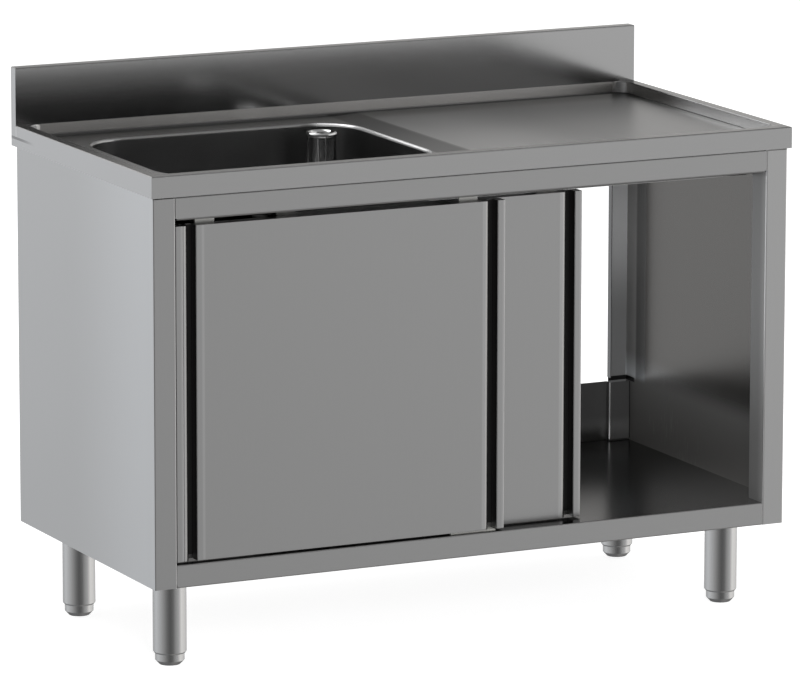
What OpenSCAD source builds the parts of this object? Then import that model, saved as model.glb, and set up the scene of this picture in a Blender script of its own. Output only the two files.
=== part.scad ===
// Stainless steel sink cabinet: worktop with one bowl and a drainer, two sliding doors, open back.
// Millimetres, +X right, +Y back, +Z up. The origin is on the floor, under the middle of the worktop.

/* [Worktop] */
// Width of the worktop
top_w = 1200; // [1000:50:1600]
// Depth of the worktop, splashback included
top_d = 600; // [560:10:700]
// Height of the rim above the floor
top_h = 850; // [800:10:950]
// Height of the folded fascia
fascia_h = 37; // [30:1:60]
// Width of the raised rim
rim_w = 20; // [12:1:40]
// Depth of the drainer below the rim
drainer_drop = 20.8; // [16:1:30]
// How far the surround of the bowl lies below the drainer
ramp_drop = 2.4; // [0.6:0.1:3]
// Width of the ramp from the drainer to the bowl
ramp_w = 53; // [30:1:80]
// Inward lean of the recess walls
wall_lean = 2; // [0.5:0.5:4]
// Plan radius of the recess corners
recess_r = 25; // [12:1:40]
// Height of the splashback above the rim
splash_h = 100; // [60:5:150]
// Thickness of the boxed splashback
splash_t = 20; // [12:1:30]
// Width of the flange folded in under the fascia
under_w = 25; // [15:1:35]
// Sheet of the worktop
top_t = 1.5; // [1:0.1:2]
// Inside radius of the worktop folds
top_fold_r = 0.8; // [0.5:0.1:2]
// Width of each stiffener under the drainer
rib_w = 64; // [40:1:90]

/* [Bowl] */
// Inside length of the bowl
bowl_w = 500; // [400:10:600]
// Inside width of the bowl
bowl_d = 410; // [340:5:450]
// Inside depth of the bowl
bowl_depth = 250; // [180:10:320]
// Plan radius of the bowl corners
bowl_r = 80; // [50:1:110]
// Radius between the bowl's wall and floor
bowl_floor_r = 30; // [15:1:45]
// Radius of the rolled edge round the bowl
bowl_roll_r = 5; // [3:0.5:8]
// Sheet of the bowl
bowl_t = 1.2; // [1:0.1:1.8]
// Distance from the worktop's left edge to the bowl
bowl_left = 88; // [60:1:140]
// Distance from the worktop's front edge to the bowl
bowl_front = 106; // [90:1:140]
// Distance of the drain from the bowl's right wall
drain_side = 78; // [70:1:120]
// Distance of the drain from the bowl's rear wall
drain_rear = 84; // [70:1:120]

/* [Waste and standpipe] */
// Radius of the threaded tail of the waste
tail_r = 29.8; // [24:0.1:32]
// Wall of the waste's tail
tail_wall = 4.3; // [3:0.1:6]
// Length of the tail below the lock nut
tail_l = 36; // [20:1:60]
// Length of the relief groove that parts the nut's thread from the trap's
tail_relief = 3; // [2:0.5:5]
// Radius of the waste's flange in the bowl
waste_flange_r = 42; // [38:0.5:46]
// Outer radius of the standpipe
pipe_r = 23; // [18:0.5:24]
// Wall of the standpipe
pipe_wall = 1.2; // [1:0.1:2]
// Outer radius of the rolled ring on the standpipe
pipe_ring_r = 26.5; // [24:0.5:30]
// How far the standpipe ends below the bowl's edge
pipe_short = 0.3; // [0:0.1:30]

/* [Cabinet body] */
// Height of the body's underside above the floor
body_z = 152.5; // [120:0.5:200]
// Step from the worktop's side to the side panel
side_inset = 5; // [2:0.5:15]
// Step from the fascia to the cabinet's front
front_inset = 6.5; // [5:0.5:20]
// Step from the worktop's rear edge to the cabinet's rear
rear_inset = 10; // [5:0.5:20]
// Width of the four corner posts
post_w = 40; // [30:1:60]
// Depth of the front posts' jamb
jamb_d = 50; // [46:1:80]
// Depth of the rear posts' inner lip
lip_d = 14; // [8:1:25]
// Height of the top rails
rail_h = 41; // [36:1:60]
// Inside radius of the front rail's folds
rail_fold_r = 2.6; // [0.8:0.1:4]
// Height of the front rail's inner web
rail_web_h = 55; // [45:0.5:57]
// Step from the track's rear web to the middle of the front rail's inner web
rail_web_gap = 4.5; // [3:0.5:8]
// Gap between the fascia's lower edge and the posts' front faces
face_gap = 3; // [0.5:0.5:5]
// Height of the shelf's front skirt
skirt_h = 39; // [30:1:60]
// Height of the upstand at the back of the shelf
upstand_h = 108.5; // [40:0.5:200]
// Gap over the upstand where the rear posts' lip is cut away
upstand_gap = 8; // [4:1:20]
// How far the upstand steps forward at the rear posts
upstand_jog = 16; // [15:1:30]
// Sheet of the body
body_t = 1.2; // [1:0.1:1.5]
// Inside radius of the body folds
fold_r = 0.8; // [0.5:0.1:2]
// Open seam between a rail and a post
seam = 0.4; // [0.3:0.05:1]
// Width of the stiffener under the shelf
shelf_rib_w = 72; // [50:2:120]
// Height of the stiffener under the shelf
shelf_rib_h = 20; // [12:1:30]
// Width of the flange at the top of the rear rail
rear_rail_d = 28; // [20:1:50]
// Width of the flanges at the foot of the front and rear rails
rail_return = 16; // [10:1:30]

/* [Sliding doors] */
// Width of a door
door_w = 608; // [500:5:800]
// Thickness of a door
door_t = 22; // [20:1:28]
// Gap between a closed door and the jamb
door_gap = 3.5; // [2:0.5:8]
// Gap between the shelf and a door
door_lift = 3; // [2.5:0.5:6]
// Gap between the top rail and a door
door_drop = 11; // [6:1:20]
// How far the front door lies behind the cabinet's front
door_back = 8; // [4:0.5:12]
// Distance between the planes of the two doors
door_pitch = 25; // [23:0.5:32]
// How far the rear door stands open, as in the photo
rear_door_open = 159.1; // [0:0.1:300]
// Width of the flat lip outside a grip groove
grip_lip = 14; // [10:0.5:20]
// Width of a grip groove
grip_w = 24; // [20:0.5:40]
// Sheet of the doors
door_skin = 1; // [0.8:0.1:1.2]
// Inside radius of the door folds
door_fold_r = 0.5; // [0.4:0.1:1]
// How far a groove's floor ends above the door's foot
grip_short = 7; // [3:1:15]

/* [Door hardware] */
// Width of a hanger
hanger_w = 35; // [25:1:45]
// Plate of a hanger
hanger_t = 2.5; // [2:0.1:3]
// Distance of a hanger's middle from the door's edge
hanger_in = 61; // [60:1:90]
// Rolling radius of a roller, in its groove
roller_r = 9; // [7:0.5:10]
// Height of a roller's two flanges
roller_flange = 3; // [2:0.5:4]
// Width of a roller
roller_w = 8; // [6:0.5:9]
// Radius of a roller's axle
axle_r = 3; // [2.5:0.25:4]
// Running clearance of a roller on its axle
axle_fit = 0.06; // [0.03:0.01:0.1]
// Gap between a roller and its rail
roller_gap = 0.3; // [0.2:0.05:0.5]
// Height of the rails' edge above the door's top
rail_up = 19; // [17:1:22]
// Sheet of the door track
track_t = 1.5; // [1:0.1:2]
// Thickness of the floor guide's tongues
tongue_w = 5; // [3:0.5:5.5]
// Length of the floor guide's tongues, which stay between the grip grooves
tongue_l = 28; // [16:1:30]

/* [Legs and feet] */
// Radius of a leg tube
leg_r = 28.5; // [20:0.5:32]
// Wall of a leg tube
leg_wall = 1.5; // [1:0.1:2]
// Distance from the worktop's end to a leg's axis
leg_side = 73.6; // [70:0.1:150]
// Distance from the worktop's front edge to a front leg's axis
leg_front = 103.5; // [100:0.5:150]
// Distance from the worktop's rear edge to a rear leg's axis
leg_rear = 107.4; // [90:0.1:150]
// Height of a foot showing under its leg tube
foot_show = 20; // [12:1:30]
// Radius of a foot
foot_r = 25; // [18:0.5:26]
// Radius of the foot's bearing face
foot_base_r = 17.8; // [12:0.1:22]
// Height of the foot's chamfer
foot_chamfer = 7.5; // [3:0.5:10]
// Radius of the levelling stud
stud_r = 6; // [4:0.5:8]
// Running clearance of the stud in its nut
stud_fit = 0.06; // [0.03:0.01:0.1]

/* [Fasteners] */
// Radius of a screw's shank
screw_r = 2.4; // [1.5:0.1:3]
// Radius of a screw's head
screw_head_r = 4.5; // [3.5:0.1:6]
// Height of a screw's head
screw_head_h = 1.6; // [1:0.1:2]
// Clearance of a screw in its hole
screw_fit = 0.1; // [0.05:0.05:0.3]

/* [Hidden] */
$fn = 48;

steel = [0.62, 0.63, 0.64];
bright = [0.78, 0.79, 0.8];
dark = [0.2, 0.2, 0.21];
nylon = [0.85, 0.85, 0.82];

x_end = top_w / 2;
y_end = top_d / 2;
body_top = top_h - fascia_h;
recess_w = top_w - 2 * rim_w;
recess_front = rim_w - y_end;
recess_back = y_end - splash_t;
recess_d = recess_back - recess_front;
recess_y = (recess_front + recess_back) / 2;
drainer_z = top_h - drainer_drop;
field_z = drainer_z - ramp_drop;
bowl_x = bowl_left + bowl_w / 2 - x_end;
bowl_y = bowl_front + bowl_d / 2 - y_end;
bowl_floor_z = field_z - bowl_depth;
ramp_x = bowl_x + bowl_w / 2 + bowl_roll_r;
drain_x = bowl_x + bowl_w / 2 - drain_side;
drain_y = bowl_y + bowl_d / 2 - drain_rear;
waste_top_z = bowl_floor_z;
waste_seat_t = 3;
gasket_t = 1.5;
washer_t = 3;
nut_h = 9;
dish_z = waste_top_z - waste_seat_t - gasket_t;
tail_hole_r = tail_r + 0.5;
waste_bore_r = tail_r - tail_wall;
washer_z = dish_z - bowl_t - washer_t;
nut_z = washer_z - nut_h;
tail_z = nut_z - tail_l;
plug_clear = 0.3;
plug_h = 18;
pipe_top_z = field_z - pipe_short;

panel_x = x_end - side_inset;
front_y = front_inset - y_end;
rear_y = y_end - rear_inset;
post_x = panel_x - post_w;
jamb_y = front_y + jamb_d;
lip_y = rear_y - lip_d;
rail_z = body_top - rail_h;
shelf_z = body_z + skirt_h;
jog_y = rear_y - upstand_jog;
flange_w = 24;

door_z = shelf_z + door_lift;
door_h = rail_z - door_drop - door_z;
door_y = front_y + door_back;
door_x = door_w / 2 + door_gap - post_x;
groove_out = door_w / 2 - grip_lip;
groove_in = groove_out - grip_w;
hanger_x = door_w / 2 - hanger_in;
hanger_y = door_t - door_skin - hanger_t;
rail_edge_z = door_h + rail_up;
axle_z = rail_edge_z + roller_r + roller_gap;
roller_y = door_t - door_skin + 0.5;
rail_mid_y = roller_y + roller_w / 2;
roller_end_y = roller_y + roller_w;
axle_head = 1.6;
ledge_z = rail_edge_z - 4.25;
web_y = roller_end_y + 4.5;
track_top_z = body_top - body_t;
track_mid_y = door_y + web_y + door_pitch / 2;
rail_flange_y = door_y + web_y + door_pitch + rail_web_gap;
slot_y = door_t / 2;
slot_w = tongue_w + 1.6;
screw_low = [14, 34];
guide_screw_x = tongue_l / 2 + 14;
guide_pad_x = guide_screw_x + 14;
guide_pad_h = door_lift - 1.2;
guide_sunk = 0.9;

leg_x = x_end - leg_side;
leg_fy = leg_front - y_end;
leg_ry = y_end - leg_rear;
plate_t = 3;
plate_z = shelf_z - body_t - plate_t;
tube_fit = 0.2;
swage_h = 2.5;
foot_in = 12;
nut_gap = 14;
leg_nut_h = 22;
stud_l = 62;

function unit(v) = v / norm(v);

// A sheet folded along a line of points, drawn as its section
module fold(pts, t, r) {
    rc = r + t / 2;
    n = len(pts) - 1;
    for (i = [0 : n - 1]) {
        d = unit(pts[i + 1] - pts[i]);
        s = [-d[1], d[0]] * t / 2;
        a = pts[i] + (i > 0 ? bend_trim(pts, i, rc) : 0) * d;
        b = pts[i + 1] - (i < n - 1 ? bend_trim(pts, i + 1, rc) : 0) * d;
        polygon([a + s, a - s, b - s, b + s]);
    }
    for (i = [1 : n - 1])
        bend(pts[i], unit(pts[i] - pts[i - 1]), unit(pts[i + 1] - pts[i]), t, r);
}

function half_tan(d0, d1) = sqrt((1 - d0 * d1) / (1 + d0 * d1));
function bend_trim(pts, i, rc) = rc * half_tan(unit(pts[i] - pts[i - 1]), unit(pts[i + 1] - pts[i]));

module bend(p, d0, d1, t, r) {
    rc = r + t / 2;
    trim = rc * half_tan(d0, d1);
    c = p + unit(d1 - d0) * sqrt(rc * rc + trim * trim);
    translate(c)
        intersection() {
            difference() {
                circle(r + t);
                circle(r);
            }
            polygon([[0, 0], (p - trim * d0 - c) * 2, (p - c) * 2, (p + trim * d1 - c) * 2]);
        }
}

// A rectangle with round corners
module round_rect(w, d, r) {
    square([w - 2 * r, d], center = true);
    square([w, d - 2 * r], center = true);
    for (x = [-1, 1])
        for (y = [-1, 1])
            translate([x * (w / 2 - r), y * (d / 2 - r)])
                circle(r);
}

// Runs the first section round a rectangle with round corners, and the second along its rear side
module run_round(w, d, r) {
    for (s = [0 : 3])
        rotate(90 * s) {
            reach = (s % 2 == 0 ? w : d) / 2;
            run = (s % 2 == 0 ? d : w) - 2 * r;
            translate([reach, run / 2, 0])
                rotate([90, 0, 0])
                    linear_extrude(run)
                        children(s == 1 ? 1 : 0);
            translate([reach - r, run / 2, 0])
                rotate_extrude(angle = 90)
                    translate([r, 0])
                        children(0);
        }
}

// Extrudes a section drawn in Y and Z along X, from the middle to both sides
module along_x(length) {
    translate([-length / 2, 0, 0])
        rotate([90, 0, 90])
            linear_extrude(length)
                children();
}

// Extrudes a section drawn in X and Z along Y
module along_y(y0, y1) {
    translate([0, y1, 0])
        rotate([90, 0, 0])
            linear_extrude(y1 - y0)
                children();
}

// A block whose top edges are rounded to radius r at both ends and at the front
module eased_block(x, y0, y1, z0, z1, r) {
    intersection() {
        along_y(y0, y1)
            union() {
                translate([-x, z0])
                    square([2 * x, z1 - z0 - r]);
                translate([r - x, z0])
                    square([2 * x - 2 * r, z1 - z0]);
                for (s = [-1, 1])
                    translate([s * (x - r), z1 - r])
                        circle(r);
            }
        along_x(2 * x)
            union() {
                translate([y0, z0])
                    square([y1 - y0, z1 - z0 - r]);
                translate([y0 + r, z0])
                    square([y1 - y0 - r, z1 - z0]);
                translate([y0 + r, z1 - r])
                    circle(r);
            }
    }
}

// The worktop's outer form, drawn smaller by g on every face
module top_form(g, z0) {
    r = top_fold_r + top_t - g;
    eased_block(x_end - g, g - y_end, y_end - g, z0, top_h - g, r);
    eased_block(x_end - g, recess_back + g, y_end - g, z0, top_h + splash_h - g, r);
}

module recess_wall() {
    fold([[3.5, -top_t / 2], [top_t / 2, -top_t / 2],
        [top_t / 2 - wall_lean, -drainer_drop - ramp_drop]], top_t, top_fold_r);
}

module recess_rear_wall() {
    fold([[top_t / 2, 2], [top_t / 2, 0],
        [top_t / 2 - wall_lean, -drainer_drop - ramp_drop]], top_t, top_fold_r);
}

module recess_floor() {
    intersection() {
        translate([0, recess_y, field_z - 20])
            linear_extrude(40)
                round_rect(recess_w - 2 * wall_lean + 0.8, recess_d - 2 * wall_lean + 0.8,
                    recess_r - wall_lean + 0.4);
        along_y(-y_end, y_end)
            polygon([[-x_end, field_z], [ramp_x, field_z], [ramp_x + ramp_w, drainer_z],
                [x_end, drainer_z], [x_end, drainer_z - top_t], [ramp_x + ramp_w, drainer_z - top_t],
                [ramp_x, field_z - top_t], [-x_end, field_z - top_t]]);
    }
}

module top_screw_places() {
    for (x = [-1, 0, 1])
        for (y = [front_y + 9, rear_y - 12])
            translate([x * (post_x - 140), y, body_top])
                children();
    for (x = [-1, 1])
        for (y = [-110, 130])
            translate([x * (panel_x - 12), y, body_top])
                children();
}

module worktop() {
    difference() {
        union() {
            difference() {
                top_form(0, body_top);
                top_form(top_t, body_top - 1);
                translate([0, recess_y, top_h - 5])
                    linear_extrude(10 - 0.01)
                        intersection() {
                            round_rect(recess_w + 2, recess_d + 2, recess_r + 1);
                            translate([0, -2])
                                square([recess_w + 4, recess_d + 4], center = true);
                        }
            }
            translate([0, recess_y, top_h])
                run_round(recess_w, recess_d, recess_r) {
                    recess_wall();
                    recess_rear_wall();
                }
            recess_floor();
            translate([0, 0, body_top])
                linear_extrude(top_t)
                    difference() {
                        square([top_w - 2 * top_t + 0.1, top_d - 2 * top_t + 0.1], center = true);
                        square([top_w - 2 * under_w, top_d - 2 * under_w], center = true);
                    }
        }
        translate([bowl_x, bowl_y, field_z - 10])
            linear_extrude(20)
                round_rect(bowl_w + 2 * bowl_roll_r, bowl_d + 2 * bowl_roll_r, bowl_r + bowl_roll_r);
        top_screw_places()
            cylinder(r = screw_r + screw_fit, h = 6, center = true);
    }
}

module drainer_rib(x) {
    z0 = body_top + top_t + body_t / 2;
    z1 = drainer_z - top_t - body_t / 2;
    a = rib_w / 2;
    b = a - rail_return;
    translate([x, 0, 0])
        along_y(recess_front + 8, recess_back - 8)
            fold([[-a, z1], [-b, z1], [-b, z0], [b, z0], [b, z1], [a, z1]], body_t, fold_r);
}

// One sheet section from the rolled edge down the wall to the floor
module bowl_section() {
    h = bowl_depth;
    translate([bowl_roll_r, -bowl_roll_r])
        intersection() {
            difference() {
                circle(bowl_roll_r);
                circle(bowl_roll_r - bowl_t);
            }
            translate([-2 * bowl_roll_r, 0])
                square(2 * bowl_roll_r);
        }
    translate([0, bowl_floor_r - h])
        square([bowl_t, h - bowl_floor_r - bowl_roll_r]);
    translate([-bowl_floor_r, bowl_floor_r - h])
        intersection() {
            difference() {
                circle(bowl_floor_r + bowl_t);
                circle(bowl_floor_r);
            }
            translate([0, -2 * bowl_floor_r])
                square(2 * bowl_floor_r);
        }
}

module bowl() {
    difference() {
        union() {
            translate([bowl_x, bowl_y, field_z])
                run_round(bowl_w, bowl_d, bowl_r) {
                    bowl_section();
                    bowl_section();
                }
            translate([bowl_x, bowl_y, bowl_floor_z - bowl_t])
                linear_extrude(bowl_t)
                    round_rect(bowl_w - 2 * bowl_floor_r, bowl_d - 2 * bowl_floor_r,
                        bowl_r - bowl_floor_r);
            translate([drain_x, drain_y, dish_z - bowl_t])
                cylinder(r = waste_flange_r + 0.5 + bowl_t, h = waste_seat_t + gasket_t + bowl_t);
        }
        translate([drain_x, drain_y, dish_z])
            cylinder(r = waste_flange_r + 0.5, h = 20);
        translate([drain_x, drain_y, dish_z - 20])
            cylinder(r = tail_hole_r, h = 40);
    }
}

module waste_body() {
    translate([drain_x, drain_y, 0])
        rotate_extrude()
            polygon([[waste_bore_r, tail_z], [tail_r - 1, tail_z], [tail_r, tail_z + 1],
                [tail_r, nut_z - tail_relief], [tail_r - 1, nut_z - tail_relief + 1],
                [tail_r - 1, nut_z - 1], [tail_r, nut_z],
                [tail_r, waste_top_z - waste_seat_t], [waste_flange_r, waste_top_z - waste_seat_t],
                [waste_flange_r, waste_top_z - 1], [waste_flange_r - 1, waste_top_z],
                [waste_flange_r - 4, waste_top_z], [waste_bore_r + 1.5, waste_top_z - 4],
                [waste_bore_r, waste_top_z - plug_h]]);
}

module waste_gasket() {
    translate([drain_x, drain_y, dish_z])
        difference() {
            cylinder(r = waste_flange_r - 1, h = gasket_t);
            translate([0, 0, -1])
                cylinder(r = tail_r, h = gasket_t + 2);
        }
}

module waste_washer() {
    translate([drain_x, drain_y, washer_z])
        difference() {
            cylinder(r = waste_flange_r - 2, h = washer_t);
            translate([0, 0, -1])
                cylinder(r = tail_r, h = washer_t + 2);
        }
}

module waste_nut() {
    translate([drain_x, drain_y, nut_z])
        difference() {
            union() {
                cylinder(r = waste_flange_r - 4, h = 2.5);
                cylinder(r = waste_flange_r - 3, h = nut_h, $fn = 6);
            }
            translate([0, 0, -1])
                cylinder(r = tail_r, h = nut_h + 2);
        }
}

module standpipe() {
    bead = (pipe_ring_r - pipe_r + pipe_wall) / 2;
    z0 = waste_top_z + plug_h * 0.2;
    translate([drain_x, drain_y, 0])
        rotate_extrude() {
            translate([pipe_r - pipe_wall, z0])
                square([pipe_wall, pipe_top_z - bead - z0]);
            translate([pipe_ring_r - bead, pipe_top_z - bead])
                difference() {
                    circle(bead);
                    circle(bead - 1);
                }
        }
}

// The rubber plug that closes the waste round the standpipe
module standpipe_plug() {
    z1 = waste_top_z + plug_h * 0.2;
    r_top = waste_bore_r + 1.5 - plug_clear;
    r_low = waste_bore_r - plug_clear;
    translate([drain_x, drain_y, 0])
        rotate_extrude()
            polygon([[pipe_r - pipe_wall, waste_top_z - plug_h], [r_low - 1, waste_top_z - plug_h],
                [r_low, waste_top_z - plug_h + 1], [r_top, waste_top_z - 4],
                [r_top, waste_top_z + 1], [pipe_r + 1.5, z1 + 7], [pipe_r, z1 + 7],
                [pipe_r, z1], [pipe_r - pipe_wall, z1]]);
}

// Left side panel: folded front post with its jamb, side, and rear post with its lip
module side_panel() {
    h = body_t / 2;
    difference() {
        union() {
            translate([0, 0, body_z])
                linear_extrude(body_top - body_z)
                    fold([[h - post_x - body_t, jamb_y], [h - post_x - body_t, front_y + h],
                        [h - panel_x, front_y + h], [h - panel_x, rear_y - h],
                        [h - post_x - body_t, rear_y - h], [h - post_x - body_t, lip_y]],
                        body_t, fold_r);
            for (z = [body_z, body_top - body_t])
                translate([body_t / 2 - panel_x, jamb_y + 2, z])
                    cube([flange_w, lip_y - jamb_y - 4, body_t]);
        }
        translate([-post_x - body_t - fold_r, lip_y - 1, body_z - 1])
            cube([body_t + fold_r + 1, rear_y - lip_y + 2, upstand_h + skirt_h + upstand_gap + 1]);
        translate([-panel_x - 1, front_y - 1, body_top - face_gap])
            cube([post_w + 2, body_t + fold_r + 1, face_gap + 1]);
        top_screw_places()
            cylinder(r = screw_r + screw_fit, h = 6, center = true);
    }
}

module top_front_rail() {
    h = body_t / 2;
    w = 2 * post_x - 2 * seam;
    difference() {
        along_x(w)
            fold([[front_y + 12, rail_z + h], [front_y + h, rail_z + h], [front_y + h, body_top - h],
                [rail_flange_y, body_top - h], [rail_flange_y, body_top - rail_web_h]],
                body_t, rail_fold_r);
        for (s = [-1, 1])
            translate([s * w / 2, front_y + 4, rail_z])
                cube([6, 20, 8], center = true);
        top_screw_places()
            cylinder(r = screw_r + screw_fit, h = 6, center = true);
        track_screw_places()
            cylinder(r = screw_r + screw_fit, h = 6, center = true);
    }
}

module top_rear_rail() {
    h = body_t / 2;
    difference() {
        along_x(2 * post_x - 2 * seam)
            fold([[lip_y, rail_z + h], [rear_y - h, rail_z + h], [rear_y - h, body_top - h],
                [rear_y - rear_rail_d, body_top - h]], body_t, fold_r);
        top_screw_places()
            cylinder(r = screw_r + screw_fit, h = 6, center = true);
    }
}

module bottom_shelf() {
    h = body_t / 2;
    inner = panel_x - body_t;
    jog_x = post_x - seam - h;
    difference() {
        union() {
            along_x(2 * post_x - 2 * seam)
                fold([[front_y + rail_return, body_z + h], [front_y + h, body_z + h],
                    [front_y + h, shelf_z - h], [jamb_y + 2, shelf_z - h]], body_t, fold_r);
            translate([-inner, jamb_y + 1, shelf_z - body_t])
                cube([2 * inner, jog_y - jamb_y - 1, body_t]);
            translate([-jog_x - h, jog_y - 1, shelf_z - body_t])
                cube([2 * jog_x + body_t, rear_y - jog_y - 0.5, body_t]);
            for (s = [-1, 1])
                translate([s * (inner - h) - h, jamb_y + 1, shelf_z - 26])
                    cube([body_t, jog_y - jamb_y - 1, 26]);
            translate([0, 0, shelf_z - body_t])
                linear_extrude(upstand_h + body_t)
                    fold([[-inner, jog_y], [-jog_x, jog_y], [-jog_x, rear_y - 1.5 + h],
                        [jog_x, rear_y - 1.5 + h], [jog_x, jog_y], [inner, jog_y]], body_t, fold_r);
        }
        for (s = [-1, 1])
            translate([s * (jog_x - 1), jog_y - 1, shelf_z - 10])
                cylinder(r = 2, h = 20);
        guide_screw_places()
            cylinder(r = screw_r + screw_fit, h = 20, center = true);
    }
}

module shelf_rib() {
    z1 = shelf_z - body_t - body_t / 2;
    a = shelf_rib_w / 2;
    b = a - rail_return;
    along_x(2 * (post_x - shelf_rib_h))
        fold([[-a, z1], [-b, z1], [-b, z1 - shelf_rib_h], [b, z1 - shelf_rib_h], [b, z1], [a, z1]],
            body_t, fold_r);
}

module base_rear_rail() {
    h = body_t / 2;
    along_x(2 * post_x - 2 * seam)
        fold([[rear_y - rail_return, body_z + h], [rear_y - h, body_z + h],
            [rear_y - h, shelf_z - body_t - h], [jog_y - 14, shelf_z - body_t - h]],
            body_t, fold_r);
}

module track_screw_places() {
    for (x = [-0.85, -0.4, 0.08, 0.54, 0.92])
        translate([x * post_x, track_mid_y, track_top_z])
            children();
}

// One folded profile with a raised rail edge for each door
module door_track() {
    h = track_t / 2;
    a = door_y + rail_mid_y;
    b = door_y + web_y + h;
    edge = door_z + rail_edge_z;
    floor_z = door_z + ledge_z + h;
    difference() {
        along_x(2 * post_x - 2 * seam)
            fold([[a, edge], [a, floor_z], [b, floor_z], [b, track_top_z - h],
                [b + door_pitch, track_top_z - h], [b + door_pitch, floor_z],
                [a + door_pitch, floor_z], [a + door_pitch, edge]], track_t, fold_r);
        track_screw_places()
            cylinder(r = screw_r + screw_fit, h = 6, center = true);
    }
}

module guide_screw_places() {
    for (s = [-1, 1])
        translate([s * guide_screw_x, door_y + slot_y + door_pitch / 2, shelf_z])
            children();
}

// Nylon guide on the shelf, with a tongue in the slot of each door
module door_guide() {
    y0 = door_y + slot_y;
    difference() {
        union() {
            translate([-guide_pad_x, y0 - 7, shelf_z])
                cube([2 * guide_pad_x, door_pitch + 14, guide_pad_h]);
            for (y = [y0, y0 + door_pitch])
                translate([-tongue_l / 2, y - tongue_w / 2, shelf_z])
                    cube([tongue_l, tongue_w, door_lift + 12]);
        }
        guide_screw_places() {
            cylinder(r = screw_r + screw_fit, h = 20, center = true);
            translate([0, 0, guide_pad_h - guide_sunk])
                cylinder(r = screw_head_r + 0.3, h = 5);
        }
    }
}

// A screw with its head against z = 0 and its shank pointing down
module screw(head_h, shank_l) {
    cylinder(r = screw_head_r, h = head_h);
    translate([0, 0, -shank_l])
        cylinder(r = screw_r, h = shank_l + head_h / 2);
}

module top_screws() {
    top_screw_places()
        translate([0, 0, -body_t])
            rotate([180, 0, 0])
                screw(screw_head_h, body_t + top_t + 4);
}

module track_screws() {
    track_screw_places()
        translate([0, 0, -track_t])
            rotate([180, 0, 0])
                screw(screw_head_h, track_t + body_t + 1);
}

module guide_screws() {
    guide_screw_places()
        translate([0, 0, guide_pad_h - guide_sunk])
            screw(guide_sunk - 0.1, guide_pad_h - guide_sunk + body_t + 6);
}

// Puts a door's pieces in place: x offset from the closed front door, and 0 or 1 for its plane
module door_place(shift, plane) {
    translate([door_x + shift, door_y + plane * door_pitch, door_z])
        children();
}

module door_skin_sheet() {
    t = door_skin;
    h = t / 2;
    e = door_w / 2 - h;
    g = door_t - t - h;
    difference() {
        union() {
            linear_extrude(door_h)
                fold([[10 - e, g], [-e, g], [-e, h], [-groove_out - h, h], [-groove_out - h, g],
                    [h - groove_in - t, g], [h - groove_in - t, h], [groove_in + t - h, h],
                    [groove_in + t - h, g], [groove_out + h, g], [groove_out + h, h], [e, h],
                    [e, g], [e - 10, g]], t, door_fold_r);
            translate([-groove_in + 1.4, h, 0])
                cube([2 * groove_in - 2.8, slot_y - slot_w / 2 - h, t]);
            for (s = [-1, 1])
                for (z = [0, door_h - t])
                    translate([s * (groove_out + grip_lip / 2) - grip_lip / 2 + h, h, z])
                        cube([grip_lip - t, door_t - 2 * t, t]);
        }
        for (s = [-1, 1])
            translate([s * (groove_out + groove_in) / 2 - grip_w / 2, door_t - 2 * t - 0.6, -1])
                cube([grip_w, t + 1, grip_short + 1]);
    }
}

module door_back_sheet() {
    t = door_skin;
    w = groove_in - t - 0.1;
    difference() {
        union() {
            translate([1 - door_w / 2, door_t - t, 0])
                cube([door_w - 2, t, door_h]);
            translate([-w, t, door_h - t])
                cube([2 * w, door_t - 1.5 * t, t]);
            translate([-w, slot_y + slot_w / 2, 0])
                cube([2 * w, door_t - slot_y - slot_w / 2 - t / 2, t]);
        }
        for (s = [-1, 1]) {
            translate([s * hanger_x - hanger_w / 2 - 0.3, hanger_y - 0.3, door_h - 2])
                cube([hanger_w + 0.6, hanger_t + 0.3, 4]);
            hanger_screw_places(s)
                cylinder(r = screw_r + screw_fit, h = 8, center = true);
        }
    }
}

module hanger_screw_places(s) {
    for (z = screw_low)
        translate([s * hanger_x, door_t - door_skin, door_h - z])
            rotate([-90, 0, 0])
                children();
}

module door_hanger(s) {
    w = hanger_w / 2;
    top = axle_z + 9;
    difference() {
        translate([s * hanger_x, 0, 0])
            along_y(hanger_y, hanger_y + hanger_t)
                polygon([[-w, door_h - 46], [w, door_h - 46], [w, top - 7], [w - 7, top],
                    [7 - w, top], [-w, top - 7]]);
        hanger_screw_places(s)
            cylinder(r = screw_r, h = 12, center = true);
        translate([s * hanger_x, hanger_y - 1, axle_z])
            rotate([-90, 0, 0])
                cylinder(r = axle_r, h = hanger_t + 2);
    }
}

module door_axles() {
    for (s = [-1, 1])
        translate([s * hanger_x, 0, axle_z])
            rotate([-90, 0, 0]) {
                translate([0, 0, hanger_y - axle_head])
                    cylinder(r = axle_r + 2, h = axle_head);
                translate([0, 0, hanger_y - axle_head / 2])
                    cylinder(r = axle_r, h = roller_end_y + 0.4 + axle_head - hanger_y);
                translate([0, 0, roller_end_y + 0.4])
                    cylinder(r = axle_r + 2, h = axle_head);
            }
}

module door_screws() {
    for (s = [-1, 1])
        hanger_screw_places(s)
            translate([0, 0, door_skin])
                screw(1.2, door_skin + hanger_t + 1);
}

module roller(s) {
    r = roller_r + roller_flange;
    a = roller_w / 2 - 1.4;
    b = roller_w / 2 + 1.4;
    translate([s * hanger_x, roller_y, axle_z])
        rotate([-90, 0, 0])
            rotate_extrude()
                polygon([[axle_r + axle_fit, 0], [r - 1, 0], [r, 1], [r, a - 0.8], [roller_r, a],
                    [roller_r, b], [r, b + 0.8], [r, roller_w - 1], [r - 1, roller_w],
                    [axle_r + axle_fit, roller_w]]);
}

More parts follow.
